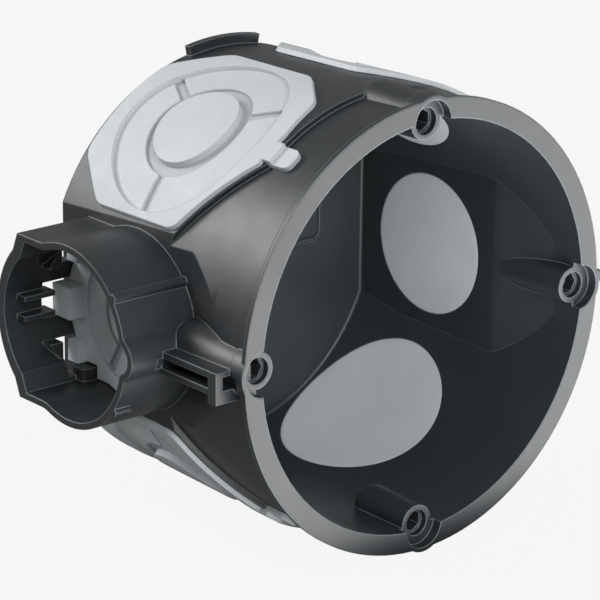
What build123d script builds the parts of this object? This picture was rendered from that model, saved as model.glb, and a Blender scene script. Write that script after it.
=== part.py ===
from build123d import *
import math
import os

# Flush back box for one wiring device: a hard moulded cup with a spigot on its
# left side that bridges to the next box, and six soft entry membranes.
# The model is drawn with X to the right, Y up and Z out of the wall, with the
# origin in the middle of the four device screws, on the faces of their bosses.
# It is turned at the end so that Z is up and the opening faces -Y.
# "Depth" is always measured into the wall from the front of the rim.

# Screws and spacing
screw_circle_d = 60.0
box_pitch = 71.0
rim_stand = 1.6          # rim in front of the boss faces

# Cup
cup_depth = 47.0
rim_overhang = 3.5       # from the screw circle to the edge of the rim
rim_thickness = 0.8
rim_lip = 1.1            # from the outside of the wall to the edge of the rim
wall_thickness = 2.0
draft_deg = 1.5
floor_thickness = 2.0
crease_depth = 35.5      # the inner wall turns in from here to the floor
crease_step = 0.55
floor_step = 0.65
floor_edge_r = 0.5

# Flats at 3 and 9 o'clock, each with a ramp that runs out to the rim
flat_setback = 0.8       # from the screw circle to the flats
flat_wall = 2.3
ramp_depth = 16.5
ramp_slope = 0.29
ramp_soft_r = 4.0

# Raised belts above and below, which carry the corner membranes
belt_rise = 0.8
belt_front_depth = 10.9
belt_side_depth = 21.7
belt_side_t = 16.4
belt_nose_t = 2.2
edge_rib_rise = 1.5
edge_rib_thickness = 1.1
edge_rib_half_deg = 11.5

# Screw bosses
boss_r = 2.7
boss_draft_deg = 1.2
boss_length = 11.2
side_boss_length = 15.0
fairing_r = 3.8          # of the hump outside each boss
boss_end_r = 1.8
boss_lead_d = 3.9
boss_lead_depth = 1.1
boss_hex_af = 2.9
boss_hex_depth = 9.5
notch_r = 3.35
notch_depth = 0.6        # below the boss face
notch_floor = 0.7
bulge_r = 4.0

# Entries
corner_axis_deg = 31.8   # from 12 and 6 o'clock
corner_hole_r = 13.2
corner_hole_depth = 31.0
side_hole_r = 11.0
side_hole_depth = 29.5
membrane_fit = 0.05
seat_sink = 0.9
seat_rim = 0.3

# Soft membranes
membrane_rise = 0.75
pad_axis_deg = 35.5
pad_flat_t = 15.2        # from the middle of the pad to its edge at the flat
pad_top_t = 15.7         # and to its edge at 12 or 6 o'clock
pad_back_depth = 45.8
pad_back_half = 9.0
pad_side_back_depth = 38.6
pad_side_front_depth = 21.0
pad_nose_depth = 11.6
pad_nose_half = 2.8
pad_shoulder_t = 10.2
pad_shoulder_depth = 13.2
pad_shoulder_r = 4.0
pad_corner_r = 3.0
gate_half = 1.7
gate_end_depth = 6.7
gate_shift = -0.4
gate_rise = 0.9
dish_r = 14.2
dish_depth = 0.7
ring_outer_r = 8.6
ring_width = 1.7
ring_depth = 1.2
relief_centre_depth = 28.8
spoke_width = 1.5
spoke_depth = 1.2
side_rise = 1.3
side_dish_r = 10.2
side_ring_outer_r = 6.4
right_pad_r = 12.2

# Spigot (collar) on the left
collar_wall = 1.0
collar_back_wall = 1.6
collar_base_depth = 40.7
collar_bow = 5.1         # the back wall bows out behind its corners
collar_knee = 2.7        # each corner's straight stretch of it, in height
collar_knee_bow = 1.1
collar_half_height = 12.3
collar_arc_r = 13.4
collar_side_length = 6.2 # from the corner to where the front arc starts
nose_r = 3.2
nose_reach = 1.6         # in front of the front arc
nose_blend_r = 1.0
shoulder_blend_r = 4.0
rod_r = 0.7
rod_deg = 38.0
rod_short = 2.6
notch_mid_half = 2.7
notch_mid_height = 6.0
notch_side_near = 5.7
notch_side_far = 10.6
notch_side_height = 4.8
guide_middle = 1.5
guide_thickness = 0.75
guide_rise = 2.1
guide_overhang = 0.9     # over the notch
guide_from_mouth = 2.2
gusset_length = 2.4
gusset_height = 3.0
gusset_rise = 1.6
lug_setback = 0.8        # in front of the collar's corners
lug_mid_length = 4.1
lug_mid_depth = 4.2
lug_side_length = 2.8
lug_side_depth = 2.4
lug_side_height = 3.3
stop_length = 3.2
stop_width = 2.4
stop_height = 3.6
lug_clearance = 0.3

# Coupling: a T-slot beside the spigot and the tongue of the far side
coupling_front_depth = 2.6
coupling_length = 13.5
coupling_reach = 7.2     # out from the flat
coupling_top = 0.7
coupling_height = 3.4
coupling_plate = 1.7
coupling_plate_height = 4.6
slot_height = 1.5
slot_from_top = 1.0
slot_lip = 1.15
groove_height = 2.0
groove_width = 3.3
coupling_wall = 0.8
web_thickness = 1.2
tongue_clearance = 0.15
tongue_length = 9.5

out_dir = "parts"
os.makedirs(out_dir, exist_ok=True)

draft = math.tan(math.radians(draft_deg))
ring_r = screw_circle_d / 2
rim_outer_r = ring_r + rim_overhang
front_r = rim_outer_r - rim_lip
mouth_r = front_r - wall_thickness
crease_r = mouth_r - crease_step
floor_r = crease_r - floor_step
flat_x = ring_r - flat_setback
rim_z = rim_stand
back_z = rim_z - cup_depth
floor_z = back_z + floor_thickness
belt_r = front_r + belt_rise
membrane_r = belt_r + membrane_rise
reach = 4 * cup_depth


def at(depth):
    return rim_z - depth


def cone(rim_radius, depth_a, depth_b):
    """Drafted solid of revolution between two depths."""
    r_a = rim_radius - depth_a * draft
    r_b = rim_radius - depth_b * draft
    body = Cone(r_b, r_a, depth_b - depth_a, align=(Align.CENTER, Align.CENTER, Align.MIN))
    return Pos(0, 0, at(depth_b)) * body


def facing(angle_deg, depth):
    """Plane at the axis, looking out at an angle: local X is round the cup, local Y to the front."""
    a = math.radians(angle_deg)
    return Plane(
        origin=(0, 0, at(depth)),
        x_dir=(-math.sin(a), math.cos(a), 0),
        z_dir=(math.cos(a), math.sin(a), 0),
    )


def side_band(x_flat, depth_turn, x_limit, soft):
    """What lies between the two flats and their ramps, as one prism across the cup."""
    run = (x_limit - x_flat) / ramp_slope
    half = [
        (x_flat, at(cup_depth * 1.5)),
        (x_flat, at(depth_turn)),
        (x_limit, at(depth_turn - run)),
        (x_limit, at(-cup_depth)),
    ]
    points = half + [(-x, z) for x, z in reversed(half)]
    outline = Polyline(*points, close=True)
    face = make_face(outline)
    turns = [v for v in face.vertices() if abs(v.Y - at(depth_turn)) < 1e-6]
    face = fillet(turns, soft)
    return extrude(Plane.XZ * face, amount=reach, both=True)


band_outer = side_band(flat_x, ramp_depth, rim_outer_r + bulge_r, ramp_soft_r)
inner_flat_x = flat_x - flat_wall
band_inner = side_band(inner_flat_x, ramp_depth - flat_wall * 0.6, rim_outer_r, ramp_soft_r)

wall = cone(front_r, 0, cup_depth)

# Outlines on the cup are drawn on a plane that faces outwards: local X is the
# distance from the middle of the pad towards 12 or 6 o'clock, local Y is minus
# the depth. The flag says whether that runs with the plane's own X.
pads = {
    "upper_left": (90, 1, False),
    "upper_right": (90, -1, True),
    "lower_left": (270, -1, True),
    "lower_right": (270, 1, False),
}


def outward_prism(face, angle, same_way):
    if not same_way:
        face = mirror(face, about=Plane.YZ)
    start = Pos(0, 0, ring_r / 3)
    return extrude(facing(angle, 0) * start * face, amount=rim_outer_r * 1.2)


belt_corner_t = belt_side_t + belt_rise * 6
belt_top_t = pad_top_t * 1.4
belt_face = make_face(
    Polyline(
        (-belt_corner_t, -belt_side_depth),
        (-belt_side_t, -belt_side_depth),
        (-belt_nose_t, -belt_front_depth),
        (belt_top_t, -belt_front_depth),
        (belt_top_t, -cup_depth),
        (-belt_corner_t, -cup_depth),
        close=True,
    )
)
belt_cone = cone(belt_r, 0, cup_depth)
for middle, turn, same_way in pads.values():
    wall += outward_prism(belt_face, middle + turn * pad_axis_deg, same_way) & belt_cone

rib_r = belt_r - cup_depth * draft + edge_rib_rise
for middle in (90, 270):
    a = math.radians(edge_rib_half_deg)
    wedge = make_face(
        Polyline(
            (0, 0),
            (reach, -reach * math.tan(a)),
            (reach, reach * math.tan(a)),
            close=True,
        )
    )
    disc = extrude(Pos(0, 0, back_z) * Circle(rib_r), amount=edge_rib_thickness)
    sector = extrude(Pos(0, 0, back_z) * Rot(0, 0, middle) * wedge, amount=edge_rib_thickness)
    wall += disc & sector

wall = wall & band_outer

wall += Pos(0, 0, rim_z - rim_thickness) * extrude(Circle(rim_outer_r), amount=rim_thickness)
bulge_height = rim_stand + notch_depth + notch_floor
for spot in PolarLocations(ring_r, 4):
    wall += Pos(0, 0, rim_z - bulge_height) * (spot * extrude(Circle(bulge_r), amount=bulge_height))

cavity_profile = Polyline(
    (0, floor_z),
    (floor_r, floor_z),
    (crease_r, at(crease_depth)),
    (mouth_r, rim_z),
    (mouth_r, rim_z + rim_stand),
    (0, rim_z + rim_stand),
    close=True,
)
cavity = revolve(Plane.XZ * make_face(cavity_profile), axis=Axis.Z)
cavity = cavity & band_inner
cavity = fillet(cavity.faces().sort_by(Axis.Z)[0].edges(), floor_edge_r)
wall -= cavity

for spot in PolarLocations(ring_r, 4):
    pocket = extrude(Circle(notch_r), amount=rim_stand * 2 + notch_depth)
    wall -= spot * Pos(0, 0, -notch_depth) * pocket


def boss(radius, length):
    spread = length * math.tan(math.radians(boss_draft_deg))
    post = Cone(radius + spread, radius, length, align=(Align.CENTER, Align.CENTER, Align.MAX))
    return fillet(post.edges().sort_by(Axis.Z)[0], boss_end_r)


boss_lengths = [side_boss_length, boss_length] * 2
fairings = Part()
for spot, length in zip(PolarLocations(ring_r, 4), boss_lengths):
    fairings += spot * boss(fairing_r, length)
wall += fairings - cavity
for spot, length in zip(PolarLocations(ring_r, 4), boss_lengths):
    wall += spot * boss(boss_r, length)
for spot in PolarLocations(ring_r, 4):
    lead = extrude(Circle(boss_lead_d / 2), amount=-boss_lead_depth)
    hexagon = RegularPolygon(boss_hex_af / 2, 6, major_radius=False)
    wall -= spot * lead
    wall -= spot * extrude(hexagon, amount=-boss_hex_depth)



def seat(angle, gap):
    """Round recess in the belt under the dish of a corner membrane."""
    radius = dish_r + seat_rim - gap
    column = Cylinder(radius, rim_outer_r, align=(Align.CENTER, Align.CENTER, Align.MIN))
    column = facing(angle, relief_centre_depth) * Pos(0, 0, ring_r * 0.5) * column
    return column - cone(belt_r - seat_sink + gap, -1, cup_depth + 1)


corner_hole = Cylinder(corner_hole_r, rim_outer_r, align=(Align.CENTER, Align.CENTER, Align.MIN))
for middle, turn, same_way in pads.values():
    angle = middle + turn * corner_axis_deg
    wall -= facing(angle, corner_hole_depth) * Pos(0, 0, ring_r * 0.5) * corner_hole
    wall -= seat(middle + turn * pad_axis_deg, 0)

# Sections on the left are drawn looking along +X: local X is towards the front.
arc_lift = math.sqrt(collar_arc_r ** 2 - collar_half_height ** 2)
collar_arc_depth = collar_base_depth - collar_side_length - arc_lift
collar_back_depth = collar_base_depth + collar_bow
nose_depth = collar_arc_depth - collar_arc_r + nose_r - nose_reach


def spigot_face(inset, back_inset):
    arc_r = collar_arc_r - inset
    half = collar_half_height - inset
    base = collar_base_depth - back_inset
    back = base + collar_bow
    knee = half - collar_knee
    lift = math.acos(half / arc_r)
    arc_start = (-collar_arc_depth - arc_r * math.sin(lift), half)
    arc_end = (arc_start[0], -half)
    front = (-collar_arc_depth + arc_r, 0)
    knee_depth = base + collar_knee_bow
    edges = [
        Line((-base, half), arc_start),
        ThreePointArc(arc_start, front, arc_end),
        Line(arc_end, (-base, -half)),
        Line((-base, -half), (-knee_depth, -knee)),
        ThreePointArc((-knee_depth, -knee), (-back, 0), (-knee_depth, knee)),
        Line((-knee_depth, knee), (-base, half)),
    ]
    face = make_face(Wire(edges))
    nose = Pos(-nose_depth, 0) * Circle(nose_r - inset)
    face = face + nose
    beside_nose = [v for v in face.vertices() if v.X > -collar_arc_depth]
    face = fillet(beside_nose, nose_blend_r)
    shoulders = [v for v in face.vertices() if abs(v.X - arc_start[0]) < 0.01]
    return fillet(shoulders, shoulder_blend_r)


def left_plane(x):
    """Plane at -x that faces -X: local X is the model's Z from the rim, local Y is up."""
    return Plane(origin=(-x, 0, rim_z), x_dir=(0, 0, 1), z_dir=(-1, 0, 0))


def left_block(x_out, x_in, depth_a, depth_b, y_low, y_high):
    """Block on the left side between two distances from the axis, depths and heights."""
    low = (-x_out, y_low, at(depth_b))
    size = (x_out - x_in, y_high - y_low, depth_b - depth_a)
    return Pos(*low) * Box(*size, align=(Align.MIN, Align.MIN, Align.MIN))


def down_plane(y):
    """Plane at a height that faces down: local X is the distance to the left, local Y the depth."""
    return Plane(origin=(0, y, rim_z), x_dir=(-1, 0, 0), z_dir=(0, -1, 0))


spigot_x = box_pitch - flat_x
spigot_length = spigot_x - flat_x
root = flat_wall / 2
collar = extrude(left_plane(spigot_x) * spigot_face(0, 0), amount=-(spigot_length + root))
wall += collar
bore_face = spigot_face(collar_wall, collar_back_wall)
bore = extrude(left_plane(spigot_x + 1) * bore_face, amount=-(spigot_length + 1))
wall -= bore

side_hole = Cylinder(side_hole_r, flat_wall * 3, align=(Align.CENTER, Align.CENTER, Align.CENTER))
for angle in (0, 180):
    wall -= facing(angle, side_hole_depth) * Pos(0, 0, flat_x - flat_wall / 2) * side_hole

# Three notches in the spigot's back wall, at its root
back_reach = collar_back_depth + collar_back_wall
notch_spans = [(-notch_mid_half, notch_mid_half, notch_mid_height)]
notch_spans += [(notch_side_near, notch_side_far, notch_side_height)]
notch_spans += [(-notch_side_far, -notch_side_near, notch_side_height)]
for low, high, height in notch_spans:
    wall -= left_block(flat_x + height, flat_x, collar_arc_depth + collar_arc_r / 2, back_reach, low, high)

# Guides in the middle notch and wedges beside the outer ones, on the inside of the back wall
inside_face = spigot_face(collar_wall / 2, collar_back_wall / 2)
collar_inside = extrude(left_plane(spigot_x) * inside_face, amount=-spigot_length)
guide_front = collar_back_depth - collar_back_wall - guide_rise
wedge_front = collar_base_depth - collar_back_wall + collar_knee_bow + collar_bow / 4 - gusset_rise / 2
for side in (-1, 1):
    guide = left_block(
        spigot_x - guide_from_mouth,
        flat_x + notch_mid_height - guide_overhang,
        guide_front,
        collar_back_depth,
        side * guide_middle - guide_thickness / 2,
        side * guide_middle + guide_thickness / 2,
    )
    wall += guide & collar_inside
    wedge_x = -(flat_x + notch_side_height)
    wedge_face = make_face(
        Polyline(
            (wedge_x, side * notch_side_near),
            (wedge_x - gusset_length, side * notch_side_near),
            (wedge_x, side * (notch_side_near + gusset_height)),
            close=True,
        )
    )
    wedge = extrude(Pos(0, 0, at(collar_back_depth)) * wedge_face, amount=collar_back_depth - wedge_front)
    wall += wedge & collar_inside

# Stop on the lower wall of the spigot, beside the notch
stop_low = -collar_half_height + collar_wall / 2
stop_middle = collar_base_depth - stop_length
stop = left_block(
    flat_x + stop_height,
    flat_x - root,
    stop_middle,
    stop_middle + stop_length,
    stop_low,
    stop_low + stop_width,
)
wall += fillet(stop.edges().filter_by(Axis.Y).sort_by(Axis.X)[:2], stop_width / 3)

# Round ribs along the outside of the spigot, the lower one only at the mouth
for side, length in ((1, spigot_length), (-1, rod_short)):
    a = math.radians(rod_deg * side)
    rod = Cylinder(rod_r, length, align=(Align.CENTER, Align.CENTER, Align.MAX))
    spot_z = -collar_arc_depth + collar_arc_r * math.cos(a)
    spot_y = collar_arc_r * math.sin(a)
    wall += left_plane(spigot_x) * Pos(spot_z, spot_y) * rod - bore

# A T-slot that is open to the front takes the tongue of the next box.
coupling_back_depth = coupling_front_depth + coupling_length
coupling_x = flat_x + coupling_reach
coupling_low = coupling_top - coupling_height
slot_top = coupling_top - slot_from_top
slot_low = slot_top - slot_height
groove_middle = (slot_top + slot_low) / 2
coupling_block = left_block(
    coupling_x,
    flat_x,
    coupling_front_depth,
    coupling_back_depth,
    coupling_low,
    coupling_top,
)
coupling_block += left_block(
    coupling_x,
    flat_x,
    coupling_front_depth,
    coupling_front_depth + coupling_plate,
    coupling_top - coupling_plate_height,
    coupling_top,
)
slot_end_depth = coupling_back_depth - coupling_wall
coupling_cut = left_block(
    coupling_x + 1,
    coupling_x - slot_lip - 1,
    coupling_front_depth + coupling_plate,
    slot_end_depth,
    slot_low,
    slot_top,
)
groove_out = coupling_x - slot_lip
coupling_cut += left_block(
    groove_out,
    groove_out - groove_width,
    coupling_front_depth - 1,
    slot_end_depth,
    groove_middle - groove_height / 2,
    groove_middle + groove_height / 2,
)
web_mouth_x = spigot_x - collar_wall / 2
web_back_depth = collar_arc_depth - collar_arc_r * 0.7
web_face = make_face(
    Polyline(
        (coupling_x, coupling_back_depth - coupling_wall),
        (web_mouth_x, coupling_back_depth),
        (web_mouth_x, web_back_depth),
        (flat_x, web_back_depth),
        (flat_x, coupling_back_depth - coupling_wall),
        close=True,
    )
)
web = extrude(down_plane(coupling_top) * web_face, amount=web_thickness)
outside = extrude(left_plane(spigot_x) * spigot_face(0, 0), amount=-spigot_length)
wall += (coupling_block + web) - cavity - outside
wall -= coupling_cut

# The tongue on the right enters the slot of the next box.
tongue_front = coupling_front_depth + coupling_plate + tongue_clearance
tongue_lip_x = box_pitch - coupling_x
head_start = tongue_lip_x + slot_lip + tongue_clearance
head_end = tongue_lip_x + slot_lip + groove_width - tongue_clearance
tongue_half = slot_height / 2 - tongue_clearance
head_half = groove_height / 2 - tongue_clearance
for x_a, x_b, half in ((ring_r + root, head_end, tongue_half), (head_start, head_end, head_half)):
    tongue = Pos(x_a, groove_middle - half, at(tongue_front + tongue_length))
    wall += tongue * Box(x_b - x_a, 2 * half, tongue_length, align=(Align.MIN, Align.MIN, Align.MIN))

def relief(dish, ring, turned):
    """Flat areas of the relief round the pad's own axis, and how deep each is pressed in."""
    dish_face = Circle(dish) - Circle(ring)
    ring_face = Circle(ring) - Circle(ring - ring_width)
    spoke_start = ring - ring_width / 2
    spokes = Sketch()
    for turn in (turned, turned + 120, turned + 240):
        spoke = Pos(spoke_start + dish / 2, 0) * Rectangle(dish, spoke_width)
        spokes += (Rot(0, 0, turn) * spoke) & Circle(dish)
    return ((dish_face, dish_depth), (spokes, spoke_depth), (ring_face, ring_depth))


def corner_membrane(middle, turn, same_way):
    outline = make_face(
        Polyline(
            (-pad_flat_t, -pad_side_back_depth),
            (-pad_flat_t, -pad_side_front_depth),
            (-pad_nose_half, -pad_nose_depth),
            (pad_nose_half, -pad_nose_depth),
            (pad_shoulder_t, -pad_shoulder_depth),
            (pad_top_t, -pad_side_front_depth),
            (pad_top_t, -pad_side_back_depth),
            (pad_back_half, -pad_back_depth),
            (-pad_back_half, -pad_back_depth),
            close=True,
        )
    )
    right = [v for v in outline.vertices() if v.X > pad_nose_half + 1]
    right = [v for v in right if v.Y > -pad_side_front_depth - 1]
    outline = fillet(right, pad_shoulder_r)
    others = [v for v in outline.vertices() if v.X < -pad_nose_half - 1]
    others += [v for v in outline.vertices() if v.X > 0 and v.Y < -relief_centre_depth]
    outline = fillet(others, pad_corner_r)
    angle = middle + turn * pad_axis_deg
    skin = cone(membrane_r, 0, cup_depth)
    flange = outward_prism(outline, angle, same_way) & skin
    flange -= cone(belt_r + membrane_fit, -1, cup_depth + 1)

    gate_length = pad_nose_depth - gate_end_depth + 1
    gate = Pos(gate_shift, -gate_end_depth - gate_length / 2) * RectangleRounded(
        2 * gate_half, gate_length, gate_half * 0.7
    )
    gate_skin = cone(front_r + gate_rise, 0, cup_depth)
    gate_skin += cone(membrane_r, belt_front_depth - gate_rise, cup_depth)
    gate_solid = outward_prism(gate, angle, same_way) & gate_skin
    gate_solid -= cone(front_r + membrane_fit, -1, cup_depth + 1)
    gate_solid -= cone(belt_r + membrane_fit, belt_front_depth - membrane_fit, cup_depth + 1)
    flange += gate_solid

    hole_axis = facing(middle + turn * corner_axis_deg, corner_hole_depth)
    plug = hole_axis * Pos(0, 0, ring_r * 0.5) * Cylinder(
        corner_hole_r - membrane_fit, rim_outer_r, align=(Align.CENTER, Align.CENTER, Align.MIN)
    )
    plug = (plug & cone(belt_r + membrane_fit, 0, cup_depth)) - cavity
    base = seat(angle, membrane_fit) & cone(belt_r + membrane_fit, 0, cup_depth)
    body = flange + plug + base
    for face, depth in relief(dish_r, ring_outer_r, 60):
        centred = Pos(0, -relief_centre_depth) * face
        body -= outward_prism(centred, angle, same_way) - cone(membrane_r - depth, -1, cup_depth + 1)
    return body


def side_relief(pad, plane, rise, turned):
    for face, depth in relief(side_dish_r, side_ring_outer_r, turned):
        start = Pos(0, -side_hole_depth, membrane_fit + rise - depth)
        pad -= extrude(plane * start * face, amount=depth + rise)
    return pad


def side_plug(plane):
    inner = Pos(0, -side_hole_depth, -flat_wall)
    return extrude(plane * inner * Circle(side_hole_r - membrane_fit), amount=flat_wall + membrane_fit)


left_face = Plane(origin=(-flat_x, 0, rim_z), x_dir=(0, -1, 0), z_dir=(-1, 0, 0))
right_face = Plane(origin=(flat_x, 0, rim_z), x_dir=(0, 1, 0), z_dir=(1, 0, 0))
to_model = Rot(90, 0, 0)

export_step(to_model * wall, out_dir + "/housing.step")
for name, pad in pads.items():
    export_step(to_model * corner_membrane(*pad), out_dir + "/" + name + "_membrane.step")

right_start = Pos(0, -side_hole_depth, membrane_fit)
right_pad = extrude(right_face * right_start * Circle(right_pad_r), amount=membrane_rise)
right_pad = side_relief(right_pad + side_plug(right_face), right_face, membrane_rise, 90)
export_step(to_model * right_pad, out_dir + "/right_membrane.step")

left_outline = spigot_face(collar_wall + 4 * membrane_fit, collar_back_wall + 4 * membrane_fit)
left_pad = extrude(left_plane(flat_x + membrane_fit) * left_outline, amount=side_rise)
left_pad = side_relief(left_pad + side_plug(left_face), left_face, side_rise, 90)
left_pad -= left_block(
    flat_x + stop_height,
    flat_x,
    stop_middle - lug_clearance,
    stop_middle + stop_length + lug_clearance,
    -collar_half_height,
    stop_low + stop_width + lug_clearance,
)
lug_front = collar_base_depth - lug_setback
side_lug_low = notch_side_near + lug_clearance
lugs = [(-notch_mid_half + lug_clearance, notch_mid_half - lug_clearance, lug_mid_length, lug_mid_depth)]
lugs += [(side_lug_low, side_lug_low + lug_side_height, lug_side_length, lug_side_depth)]
lugs += [(-side_lug_low - lug_side_height, -side_lug_low, lug_side_length, lug_side_depth)]
for low, high, length, depth in lugs:
    lug_out = flat_x + length
    left_pad += left_block(lug_out, flat_x + membrane_fit, lug_front, lug_front + depth, low, high)
export_step(to_model * left_pad, out_dir + "/left_membrane.step")
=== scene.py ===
import math

import bmesh
import bpy
from mathutils import Matrix, Vector


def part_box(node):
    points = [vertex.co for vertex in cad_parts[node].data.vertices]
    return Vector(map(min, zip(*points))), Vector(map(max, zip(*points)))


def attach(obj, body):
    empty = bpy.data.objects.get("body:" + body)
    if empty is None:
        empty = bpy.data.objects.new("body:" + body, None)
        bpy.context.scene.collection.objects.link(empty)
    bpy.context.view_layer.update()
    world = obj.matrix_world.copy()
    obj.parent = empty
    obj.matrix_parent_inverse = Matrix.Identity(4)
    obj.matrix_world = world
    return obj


bl_info = {
    "name": "Flush back box looks",
    "version": (1, 0, 0),
    "blender": (4, 5, 0),
    "location": "View3D > Sidebar > Back box",
    "description": "Finishes for a flush back box and its soft entry membranes, with a plain studio",
    "category": "Object",
}

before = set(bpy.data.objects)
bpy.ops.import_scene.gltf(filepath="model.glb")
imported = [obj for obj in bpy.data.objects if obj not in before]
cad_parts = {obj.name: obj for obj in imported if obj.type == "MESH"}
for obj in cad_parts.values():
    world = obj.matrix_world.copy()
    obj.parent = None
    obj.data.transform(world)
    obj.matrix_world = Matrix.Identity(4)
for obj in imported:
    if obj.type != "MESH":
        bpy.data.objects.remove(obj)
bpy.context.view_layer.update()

MM = 0.001
BACK_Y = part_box("housing")[1][1]
FLOOR_Y = BACK_Y - 2.0 * MM
LOWEST_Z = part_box("housing")[0][2]
CORNER_MEMBRANES = (
    "upper_left_membrane",
    "upper_right_membrane",
    "lower_left_membrane",
    "lower_right_membrane",
)

# Grooves of the membranes: how far their floors lie from the middle of the box, where painted shade
# darkens the membrane colour
CORNER_GROOVE = 32.70 * MM
LEFT_GROOVE = 29.35 * MM
RIGHT_GROOVE = 28.80 * MM
GROOVE_BAND = 0.25 * MM
DRAFT = math.radians(1.5)

# Empty frame on the floor of the box
FRAME_CORNER = (18.4 * MM, -1.4 * MM)
FRAME_SHAPE = 0.75
FRAME_HEIGHT = 0.30 * MM

# End wall of the coupling slot, as X, Z outline between two depths, and the
# part beside it that fills the curved wall of the spigot, as Y, Z outline
SLOT_FRONT, SLOT_BACK = 12.90 * MM, 13.55 * MM
SLOT_OUTER = -36.38 * MM
SPIGOT_OUTER = -37.42 * MM
SLOT_OUTLINE = (
    (SLOT_OUTER, -1.85 * MM),
    (-35.25 * MM, -1.85 * MM),
    (-35.25 * MM, -2.10 * MM),
    (-31.90 * MM, -2.10 * MM),
    (-31.90 * MM, 0.0),
    (-35.25 * MM, 0.0),
    (-35.25 * MM, -0.25 * MM),
    (SLOT_OUTER, -0.25 * MM),
)
SPIGOT_OUTLINE = (
    (12.60 * MM, -0.25 * MM),
    (12.77 * MM, -1.05 * MM),
    (13.18 * MM, -1.85 * MM),
    (SLOT_BACK, -1.85 * MM),
    (SLOT_BACK, -0.25 * MM),
)

# Studio
WORLD_LEVEL = 0.30
FLOOR_COLOUR = (0.22, 0.22, 0.22, 1.0)
FLOOR_GLOW = 0.91
FLOOR_HALF = 6.0
WHITE = (1.0, 1.0, 1.0, 1.0)
LAMP_FLOOR_Z = LOWEST_Z + 1.0 * MM
LAMP_AIM = (0.0, 0.01, 0.0)
LAMPS = (
    ("key_lamp", (-0.32, -0.80, 0.52), (0.50, 0.50), 6.2, LAMP_AIM),
    ("back_lamp", (-0.54, 0.66, 0.46), (0.42, 0.42), 5.3, LAMP_AIM),
    ("low_lamp", (0.16, -0.20, LAMP_FLOOR_Z), (0.42, 0.38), 2.1, (0.16, -0.20, 1.0)),
)
CAMERA_PLACE = Vector((-293.52, -318.29, 149.48)) * MM
CAMERA_YAW, CAMERA_RISE, CAMERA_ROLL = 0.7053, -0.3250, 0.0114
CAMERA_SENSOR = 36.0
CAMERA_FOCAL_PIXELS = 3236.6
PICTURE_WIDTH = 600


class BackBoxSettings(bpy.types.PropertyGroup):
    hard_colour: bpy.props.FloatVectorProperty(
        name="Housing colour",
        description="Colour of the hard plastic",
        subtype="COLOR",
        size=3,
        min=0.0,
        max=1.0,
        default=(0.021, 0.025, 0.0285),
    )
    hard_roughness: bpy.props.FloatProperty(
        name="Housing roughness",
        description="How dull the hard plastic is",
        subtype="FACTOR",
        min=0.0,
        max=1.0,
        default=0.42,
    )
    soft_colour: bpy.props.FloatVectorProperty(
        name="Membrane colour",
        description="Colour of the soft plastic",
        subtype="COLOR",
        size=3,
        min=0.0,
        max=1.0,
        default=(0.60, 0.632, 0.652),
    )
    soft_roughness: bpy.props.FloatProperty(
        name="Membrane roughness",
        description="How dull the soft plastic is",
        subtype="FACTOR",
        min=0.0,
        max=1.0,
        default=0.55,
    )
    # Strength of the painted highlight along the edges of the hard plastic
    edge_highlight: bpy.props.FloatProperty(
        name="Edge tone",
        description="How pale the line along the edges of the hard plastic is",
        subtype="FACTOR",
        min=0.0,
        max=1.0,
        default=0.45,
    )
    # Strength of the painted shade on the floors of the membrane grooves
    groove_shade_amount: bpy.props.FloatProperty(
        name="Groove tone",
        description="How much darker the thin grooves of the membranes are",
        subtype="FACTOR",
        min=0.0,
        max=1.0,
        default=0.20,
    )
    grain_size: bpy.props.FloatProperty(
        name="Grain size",
        description="Size of the fine moulded grain",
        subtype="DISTANCE",
        unit="LENGTH",
        default=0.22 * MM,
    )
    frame_width: bpy.props.FloatProperty(
        name="Frame width",
        description="Width of the empty frame on the floor of the box",
        subtype="DISTANCE",
        unit="LENGTH",
        default=10.0 * MM,
    )
    frame_line: bpy.props.FloatProperty(
        name="Frame line",
        description="Width of the raised line of that frame",
        subtype="DISTANCE",
        unit="LENGTH",
        default=0.55 * MM,
    )
    smooth_angle: bpy.props.FloatProperty(
        name="Smooth angle",
        description="Edges flatter than this are shaded smooth",
        subtype="ANGLE",
        unit="ROTATION",
        default=math.radians(19.5),
    )
    light_level: bpy.props.FloatProperty(
        name="Light level",
        description="Factor on the power of all the lamps",
        min=0.0,
        default=1.0,
    )


def settings():
    return bpy.context.scene.back_box


def new_material(name):
    material = bpy.data.materials.new(name)
    material.use_nodes = True
    return material, material.node_tree, material.node_tree.nodes["Principled BSDF"]


def add_node(tree, kind, **values):
    node = tree.nodes.new(kind)
    for key, value in values.items():
        node.inputs[key].default_value = value
    return node


def map_range(tree, value, low, high, start=0.3, end=0.7):
    """Maps the value from between start and end to between low and high."""
    node = tree.nodes.new("ShaderNodeMapRange")
    sizes = {"From Min": start, "From Max": end, "To Min": low, "To Max": high}
    for key, size in sizes.items():
        node.inputs[key].default_value = size
    tree.links.new(value, node.inputs["Value"])
    return node.outputs["Result"]


def scaled(tree, vector, factor):
    node = tree.nodes.new("ShaderNodeVectorMath")
    node.operation = "SCALE"
    tree.links.new(vector, node.inputs["Vector"])
    tree.links.new(factor, node.inputs["Scale"])
    return node


def rounded_normal(tree, radius):
    node = tree.nodes.new("ShaderNodeBevel")
    node.samples = 6
    node.inputs["Radius"].default_value = radius
    return node.outputs["Normal"]


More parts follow.
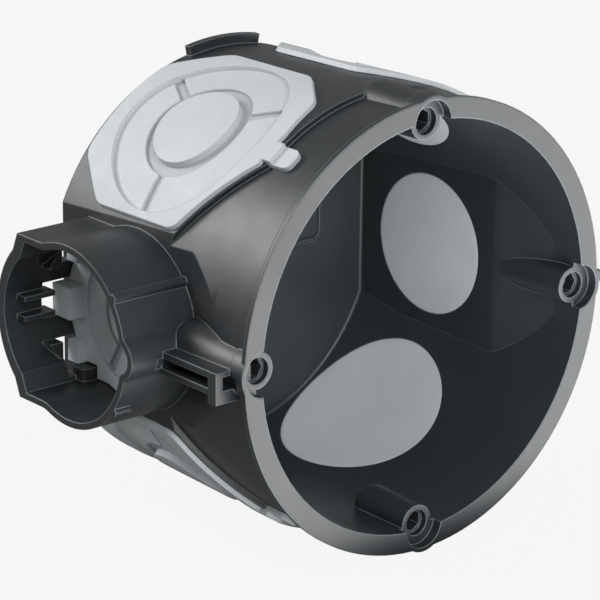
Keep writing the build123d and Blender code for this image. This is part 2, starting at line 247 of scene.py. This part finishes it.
def colour_spread(tree, coordinates, colour, scale, spread, speck):
    """Slow, faint variation of the colour under a fine speckle."""
    noise = add_node(tree, "ShaderNodeTexNoise", Scale=scale, Detail=3.0)
    ramp = tree.nodes.new("ShaderNodeValToRGB")
    ramp.color_ramp.elements[0].position = 0.3
    ramp.color_ramp.elements[1].position = 0.7
    ramp.color_ramp.elements[0].color = tuple(c * (1 - spread) for c in colour) + (1.0,)
    ramp.color_ramp.elements[1].color = tuple(min(1.0, c * (1 + spread)) for c in colour) + (1.0,)
    tree.links.new(coordinates.outputs["Object"], noise.inputs["Vector"])
    tree.links.new(noise.outputs["Fac"], ramp.inputs["Fac"])
    dots = add_node(tree, "ShaderNodeTexNoise", Scale=1.0 / settings().grain_size, Detail=1.0)
    tree.links.new(coordinates.outputs["Object"], dots.inputs["Vector"])
    shade = map_range(tree, dots.outputs["Fac"], 1.0 - speck, 1.0 + speck)
    return scaled(tree, ramp.outputs["Color"], shade)


def roughness_spread(tree, shader, coordinates, low, high, scale):
    """Patches that are a little duller or shinier."""
    noise = add_node(tree, "ShaderNodeTexNoise", Scale=scale, Detail=4.0)
    tree.links.new(coordinates.outputs["Object"], noise.inputs["Vector"])
    limits = map_range(tree, noise.outputs["Fac"], low, high)
    tree.links.new(limits, shader.inputs["Roughness"])


def moulded_grain(tree, shader, coordinates, size, depth, swell, edge):
    """Fine grain of a moulded surface over a slow swell, with its edges a little rounded."""
    fine = add_node(tree, "ShaderNodeTexNoise", Scale=1.0 / size, Detail=2.0)
    slow = add_node(tree, "ShaderNodeTexNoise", Scale=0.04 / size, Detail=2.0)
    first = add_node(tree, "ShaderNodeBump", Strength=0.6, Distance=swell)
    second = add_node(tree, "ShaderNodeBump", Strength=0.5, Distance=depth)
    for noise in (fine, slow):
        tree.links.new(coordinates.outputs["Object"], noise.inputs["Vector"])
    tree.links.new(rounded_normal(tree, edge), first.inputs["Normal"])
    tree.links.new(slow.outputs["Fac"], first.inputs["Height"])
    tree.links.new(fine.outputs["Fac"], second.inputs["Height"])
    tree.links.new(first.outputs["Normal"], second.inputs["Normal"])
    tree.links.new(second.outputs["Normal"], shader.inputs["Normal"])


def painted_edge_highlight(tree, shader, colour, amount):
    """Painted highlight: pale line along every edge, standing in for the light that rounded edges
    catch.
    """
    surface = tree.nodes.new("ShaderNodeNewGeometry")
    turn = tree.nodes.new("ShaderNodeVectorMath")
    turn.operation = "DOT_PRODUCT"
    tree.links.new(rounded_normal(tree, 0.22 * MM), turn.inputs[0])
    tree.links.new(surface.outputs["Normal"], turn.inputs[1])
    line = map_range(tree, turn.outputs["Value"], 0.0, amount, start=0.995, end=0.90)
    pale = tree.nodes.new("ShaderNodeMix")
    pale.data_type = "RGBA"
    tree.links.new(line, pale.inputs["Factor"])
    tree.links.new(colour.outputs["Vector"], pale.inputs["A"])
    # Colour of the painted edge highlight
    pale.inputs["B"].default_value = (0.42, 0.45, 0.47, 1.0)
    tree.links.new(pale.outputs["Result"], shader.inputs["Base Color"])


def hard_plastic():
    values = settings()
    material, tree, shader = new_material("hard_plastic_finish")
    coordinates = tree.nodes.new("ShaderNodeTexCoord")
    colour = colour_spread(tree, coordinates, tuple(values.hard_colour), 90.0, 0.08, 0.12)
    rough = values.hard_roughness
    roughness_spread(tree, shader, coordinates, rough - 0.02, rough + 0.03, 260.0)
    moulded_grain(tree, shader, coordinates, values.grain_size, 0.020 * MM, 0.006 * MM, 0.35 * MM)
    # Painted highlight along the edges, mixed into the base colour
    painted_edge_highlight(tree, shader, colour, values.edge_highlight)
    shader.inputs["Specular IOR Level"].default_value = 0.7
    return material


def math_step(tree, operation, first, second=None, third=None):
    step = tree.nodes.new("ShaderNodeMath")
    step.operation = operation
    for socket, value in zip(step.inputs, (first, second, third)):
        if isinstance(value, bpy.types.NodeSocket):
            tree.links.new(value, socket)
        elif value is not None:
            socket.default_value = value
    return step.outputs["Value"]


def groove_shade(tree, shader, coordinates, colour, round_pad, level, amount):
    """Painted shade: darkens the floor of the grooves, which lies at the given distance from the
    middle.
    """
    axes = tree.nodes.new("ShaderNodeSeparateXYZ")
    tree.links.new(coordinates.outputs["Object"], axes.inputs["Vector"])
    x, y, z = axes.outputs
    if round_pad:
        across = math_step(tree, "MULTIPLY_ADD", x, x, math_step(tree, "MULTIPLY", z, z))
        lean = math_step(tree, "MULTIPLY", y, math.tan(DRAFT))
        height = math_step(tree, "ADD", math_step(tree, "SQRT", across), lean)
    else:
        height = math_step(tree, "ABSOLUTE", x)
    inside = math_step(tree, "COMPARE", height, level, GROOVE_BAND)
    factor = math_step(tree, "MULTIPLY_ADD", inside, -amount, 1.0)
    shaded = scaled(tree, colour.outputs["Vector"], factor)
    tree.links.new(shaded.outputs["Vector"], shader.inputs["Base Color"])


def soft_plastic(name, round_pad, level):
    values = settings()
    material, tree, shader = new_material(name)
    coordinates = tree.nodes.new("ShaderNodeTexCoord")
    colour = colour_spread(tree, coordinates, tuple(values.soft_colour), 140.0, 0.03, 0.035)
    # Painted shade on the floors of the grooves
    groove_shade(tree, shader, coordinates, colour, round_pad, level, values.groove_shade_amount)
    rough = values.soft_roughness
    roughness_spread(tree, shader, coordinates, rough - 0.05, rough + 0.08, 300.0)
    moulded_grain(tree, shader, coordinates, values.grain_size, 0.010 * MM, 0.03 * MM, 0.25 * MM)
    shader.inputs["Subsurface Weight"].default_value = 0.15
    shader.inputs["Subsurface Radius"].default_value = (1.0, 1.0, 1.0)
    shader.inputs["Subsurface Scale"].default_value = 0.6 * MM
    return material


def smoothing_group():
    """Shades smooth, and keeps the edges sharp that turn more than the set angle."""
    name = "smooth_moulding"
    if name in bpy.data.node_groups:
        return bpy.data.node_groups[name]
    group = bpy.data.node_groups.new(name, "GeometryNodeTree")
    group.interface.new_socket("Geometry", in_out="INPUT", socket_type="NodeSocketGeometry")
    group.interface.new_socket("Geometry", in_out="OUTPUT", socket_type="NodeSocketGeometry")
    entry = group.nodes.new("NodeGroupInput")
    leave = group.nodes.new("NodeGroupOutput")
    merge = group.nodes.new("GeometryNodeMergeByDistance")
    merge.inputs["Distance"].default_value = 0.002 * MM
    angle = group.nodes.new("GeometryNodeInputMeshEdgeAngle")
    compare = group.nodes.new("FunctionNodeCompare")
    compare.data_type = "FLOAT"
    compare.operation = "LESS_EQUAL"
    compare.inputs["B"].default_value = settings().smooth_angle
    faces = group.nodes.new("GeometryNodeSetShadeSmooth")
    faces.domain = "FACE"
    edges = group.nodes.new("GeometryNodeSetShadeSmooth")
    edges.domain = "EDGE"
    group.links.new(entry.outputs["Geometry"], merge.inputs["Geometry"])
    group.links.new(merge.outputs["Geometry"], faces.inputs["Geometry"])
    group.links.new(faces.outputs["Geometry"], edges.inputs["Geometry"])
    group.links.new(angle.outputs["Unsigned Angle"], compare.inputs["A"])
    group.links.new(compare.outputs["Result"], edges.inputs["Shade Smooth"])
    group.links.new(edges.outputs["Geometry"], leave.inputs["Geometry"])
    return group


def finish_node(name, material):
    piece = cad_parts[name]
    piece.data.materials.clear()
    piece.data.materials.append(material)
    modifier = piece.modifiers.new("smooth moulding", "NODES")
    modifier.node_group = smoothing_group()


def mesh_piece(name, shape, material):
    mesh = bpy.data.meshes.new(name)
    bmesh.ops.recalc_face_normals(shape, faces=shape.faces)
    shape.to_mesh(mesh)
    shape.free()
    piece = bpy.data.objects.new(name, mesh)
    bpy.context.scene.collection.objects.link(piece)
    mesh.materials.append(material)
    return piece


def hard_piece(name, shape):
    """New piece of the housing's plastic, fixed to the box."""
    piece = mesh_piece(name, shape, bpy.data.materials["hard_plastic_finish"])
    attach(piece, "root")


class BACKBOX_OT_housing(bpy.types.Operator):
    """Give the housing its hard black plastic"""

    bl_idname = "backbox.housing"
    bl_label = "Finish housing"

    def execute(self, context):
        finish_node("housing", hard_plastic())
        return {"FINISHED"}


class BACKBOX_OT_membranes(bpy.types.Operator):
    """Give the six entry membranes their soft grey plastic"""

    bl_idname = "backbox.membranes"
    bl_label = "Finish membranes"

    def execute(self, context):
        corner = soft_plastic("soft_plastic_corner", True, CORNER_GROOVE)
        for name in CORNER_MEMBRANES:
            finish_node(name, corner)
        finish_node("left_membrane", soft_plastic("soft_plastic_left", False, LEFT_GROOVE))
        finish_node("right_membrane", soft_plastic("soft_plastic_right", False, RIGHT_GROOVE))
        return {"FINISHED"}


class BACKBOX_OT_floor_frame(bpy.types.Operator):
    """Add the empty raised frame on the floor of the box"""

    bl_idname = "backbox.floor_frame"
    bl_label = "Add floor frame"

    def execute(self, context):
        values = settings()
        width = values.frame_width
        height = width * FRAME_SHAPE
        corner = Vector((FRAME_CORNER[0], FLOOR_Y, FRAME_CORNER[1]))
        shape = bmesh.new()
        outline = (
            corner + Vector((-width, 0, 0)),
            corner,
            corner + Vector((0, 0, height)),
            corner + Vector((-width, 0, height)),
        )
        points = [shape.verts.new(point) for point in outline]
        shape.faces.new(points)
        bmesh.ops.bevel(
            shape,
            geom=points,
            offset=values.frame_line * 3,
            segments=4,
            profile=0.5,
            affect="VERTICES",
            material=-1,
        )
        panel = shape.faces[:][0]
        bmesh.ops.inset_region(
            shape, faces=[panel], thickness=values.frame_line, use_boundary=True, use_even_offset=True
        )
        bmesh.ops.delete(shape, geom=[panel], context="FACES")
        line = shape.faces[:]
        raised = bmesh.ops.extrude_face_region(shape, geom=line)
        tops = [part for part in raised["geom"] if isinstance(part, bmesh.types.BMVert)]
        bmesh.ops.translate(shape, verts=tops, vec=(0, -FRAME_HEIGHT, 0))
        hard_piece("floor_frame", shape)
        return {"FINISHED"}


def add_prism(shape, outline, step):
    """Closed prism on a flat outline, drawn out by the given step."""
    face = shape.faces.new([shape.verts.new(point) for point in outline])
    raised = bmesh.ops.extrude_face_region(shape, geom=[face], use_keep_orig=True)
    ends = [part for part in raised["geom"] if isinstance(part, bmesh.types.BMVert)]
    bmesh.ops.translate(shape, verts=ends, vec=step)


class BACKBOX_OT_slot_end(bpy.types.Operator):
    """Close the rear end of the coupling slot with a thin wall"""

    bl_idname = "backbox.slot_end"
    bl_label = "Close slot end"

    def execute(self, context):
        shape = bmesh.new()
        wall = [(x, SLOT_FRONT, z) for x, z in SLOT_OUTLINE]
        add_prism(shape, wall, (0, SLOT_BACK - SLOT_FRONT, 0))
        filling = [(SPIGOT_OUTER, y, z) for y, z in SPIGOT_OUTLINE]
        add_prism(shape, filling, (SLOT_OUTER - SPIGOT_OUTER, 0, 0))
        hard_piece("slot_end", shape)
        return {"FINISHED"}


def area_lamp(name, place, size, power, aim):
    data = bpy.data.lights.new(name, "AREA")
    data.shape = "RECTANGLE"
    data.size = size[0]
    data.size_y = size[1]
    data.energy = power * settings().light_level
    lamp = bpy.data.objects.new(name, data)
    bpy.context.scene.collection.objects.link(lamp)
    lamp.location = place
    lamp.visible_camera = False
    direction = Vector(aim) - Vector(place)
    lamp.rotation_euler = direction.to_track_quat("-Z", "Y").to_euler()


def backdrop_material(name, colour):
    """Diffuse floor that the camera sees nearly white, with a faint shadow."""
    material, tree, shader = new_material(name)
    tree.nodes.remove(shader)
    output = tree.nodes["Material Output"]
    diffuse = add_node(tree, "ShaderNodeBsdfDiffuse", Color=colour)
    glow = add_node(tree, "ShaderNodeEmission", Color=WHITE, Strength=1.0)
    path = tree.nodes.new("ShaderNodeLightPath")
    share = tree.nodes.new("ShaderNodeMath")
    share.operation = "MULTIPLY"
    share.inputs[1].default_value = FLOOR_GLOW
    mix = tree.nodes.new("ShaderNodeMixShader")
    tree.links.new(path.outputs["Is Camera Ray"], share.inputs[0])
    tree.links.new(share.outputs["Value"], mix.inputs["Fac"])
    tree.links.new(diffuse.outputs["BSDF"], mix.inputs[1])
    tree.links.new(glow.outputs["Emission"], mix.inputs[2])
    tree.links.new(mix.outputs["Shader"], output.inputs["Surface"])
    return material


def world_light(level):
    world = bpy.data.worlds.new("studio")
    world.use_nodes = True
    tree = world.node_tree
    tree.nodes.clear()
    output = tree.nodes.new("ShaderNodeOutputWorld")
    soft = add_node(tree, "ShaderNodeBackground", Color=WHITE, Strength=level)
    white = add_node(tree, "ShaderNodeBackground", Color=WHITE, Strength=1.0)
    path = tree.nodes.new("ShaderNodeLightPath")
    mix = tree.nodes.new("ShaderNodeMixShader")
    tree.links.new(path.outputs["Is Camera Ray"], mix.inputs["Fac"])
    tree.links.new(soft.outputs["Background"], mix.inputs[1])
    tree.links.new(white.outputs["Background"], mix.inputs[2])
    tree.links.new(mix.outputs["Shader"], output.inputs["Surface"])
    bpy.context.scene.world = world


class BACKBOX_OT_stage(bpy.types.Operator):
    """Add the plain floor, the studio light and the camera"""

    bl_idname = "backbox.stage"
    bl_label = "Add stage"

    def execute(self, context):
        scene = context.scene
        shape = bmesh.new()
        bmesh.ops.create_grid(shape, x_segments=1, y_segments=1, size=FLOOR_HALF)
        bmesh.ops.translate(shape, verts=shape.verts, vec=(0, 0, LOWEST_Z - 0.2 * MM))
        floor = mesh_piece("studio_floor", shape, backdrop_material("pale_floor", FLOOR_COLOUR))

        world_light(WORLD_LEVEL)
        for lamp in LAMPS:
            area_lamp(*lamp)

        data = bpy.data.cameras.new("photo_camera")
        data.sensor_fit = "HORIZONTAL"
        data.sensor_width = CAMERA_SENSOR
        data.lens = CAMERA_FOCAL_PIXELS / PICTURE_WIDTH * CAMERA_SENSOR
        data.clip_start = 0.01
        data.clip_end = 50.0
        camera = bpy.data.objects.new("photo_camera", data)
        scene.collection.objects.link(camera)
        level = math.cos(CAMERA_RISE)
        forward = Vector(
            (
                level * math.sin(CAMERA_YAW),
                level * math.cos(CAMERA_YAW),
                math.sin(CAMERA_RISE),
            )
        )
        turn = forward.to_track_quat("-Z", "Y").to_matrix().to_4x4()
        roll = Matrix.Rotation(CAMERA_ROLL, 4, "Z")
        camera.matrix_world = Matrix.Translation(CAMERA_PLACE) @ turn @ roll
        scene.camera = camera
        scene.view_settings.view_transform = "Standard"
        return {"FINISHED"}


STEPS = (
    BACKBOX_OT_housing,
    BACKBOX_OT_membranes,
    BACKBOX_OT_floor_frame,
    BACKBOX_OT_slot_end,
    BACKBOX_OT_stage,
)


class BACKBOX_PT_panel(bpy.types.Panel):
    bl_idname = "BACKBOX_PT_panel"
    bl_label = "Back box"
    bl_space_type = "VIEW_3D"
    bl_region_type = "UI"
    bl_category = "Back box"

    def draw(self, context):
        values = context.scene.back_box
        column = self.layout.column()
        for name in values.bl_rna.properties.keys():
            if name not in ("rna_type", "name"):
                column.prop(values, name)
        for step in STEPS:
            column.operator(step.bl_idname)


CLASSES = (BackBoxSettings,) + STEPS + (BACKBOX_PT_panel,)


def register():
    for item in CLASSES:
        bpy.utils.register_class(item)
    bpy.types.Scene.back_box = bpy.props.PointerProperty(type=BackBoxSettings)


def unregister():
    del bpy.types.Scene.back_box
    for item in reversed(CLASSES):
        bpy.utils.unregister_class(item)


def main():
    register()
    bpy.ops.backbox.housing()
    bpy.ops.backbox.membranes()
    bpy.ops.backbox.floor_frame()
    bpy.ops.backbox.slot_end()
    bpy.ops.backbox.stage()


if __name__ == "__main__":
    main()
